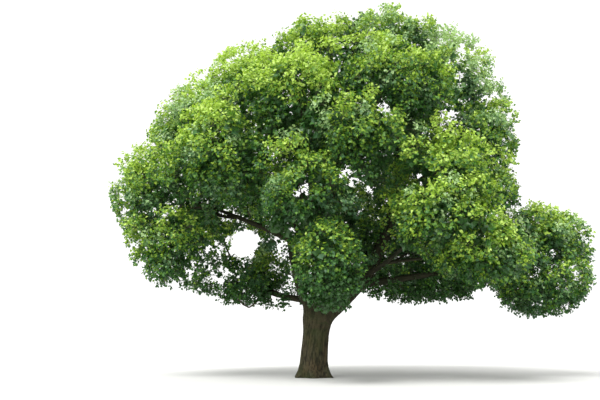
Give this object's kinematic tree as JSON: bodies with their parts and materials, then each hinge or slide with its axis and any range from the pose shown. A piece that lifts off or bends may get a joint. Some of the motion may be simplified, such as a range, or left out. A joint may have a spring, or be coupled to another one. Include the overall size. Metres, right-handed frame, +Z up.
{
  "type": "large-leaved linden tree",
  "caption": "Broad domed deciduous tree in summer leaf, with a short thick forked trunk, spreading boughs and separate billows of leaf sprays.",
  "frame": {"origin": "middle of the trunk's flat cut at ground level", "axes": "+Z up, +X towards the far low bough at the right of the picture, -Y towards the picture's viewer"},
  "size_m": [22.1522, 16.5513, 17.6316],
  "materials": {
    "bark": "rough, furrowed grey-brown bark",
    "leaves": "soft, slightly glossy leaf"
  },
  "bodies": {
    "root": {"trunk": "bark", "left_limb": "bark", "bough_top": "bark", "bough_top_left": "bark", "bough_top_back": "bark", "bough_upper_right": "bark", "bough_right_shoulder": "bark", "bough_right_middle": "bark", "bough_upper_left": "bark", "bough_left_shoulder": "bark", "bough_left_middle": "bark", "bough_left_low": "bark", "bough_left_inner": "bark", "bough_centre": "bark", "bough_front_top": "bark", "bough_front_high_right": "bark", "bough_front_right": "bark", "bough_front_left": "bark", "bough_front_middle": "bark", "bough_front_low": "bark", "bough_cascade_top": "bark", "bough_cascade_middle": "bark", "bough_cascade_low": "bark", "bough_far_right_upper": "bark", "bough_far_right_low": "bark", "bough_right_under": "bark", "bough_back_right_upper": "bark", "bough_back_left_upper": "bark", "bough_back_right_low": "bark", "bough_back_middle": "bark", "bough_back_left_low": "bark", "foliage_top": "leaves", "foliage_top_left": "leaves", "foliage_top_back": "leaves", "foliage_upper_right": "leaves", "foliage_right_shoulder": "leaves", "foliage_right_middle": "leaves", "foliage_upper_left": "leaves", "foliage_left_shoulder": "leaves", "foliage_left_middle": "leaves", "foliage_left_low": "leaves", "foliage_left_inner": "leaves", "foliage_centre": "leaves", "foliage_front_top": "leaves", "foliage_front_high_right": "leaves", "foliage_front_right": "leaves", "foliage_front_left": "leaves", "foliage_front_middle": "leaves", "foliage_front_low": "leaves", "foliage_cascade_top": "leaves", "foliage_cascade_middle": "leaves", "foliage_cascade_low": "leaves", "foliage_far_right_upper": "leaves", "foliage_far_right_low": "leaves", "foliage_right_under": "leaves", "foliage_back_right_upper": "leaves", "foliage_back_left_upper": "leaves", "foliage_back_right_low": "leaves", "foliage_back_middle": "leaves", "foliage_back_left_low": "leaves"}
  },
  "joints": []
}
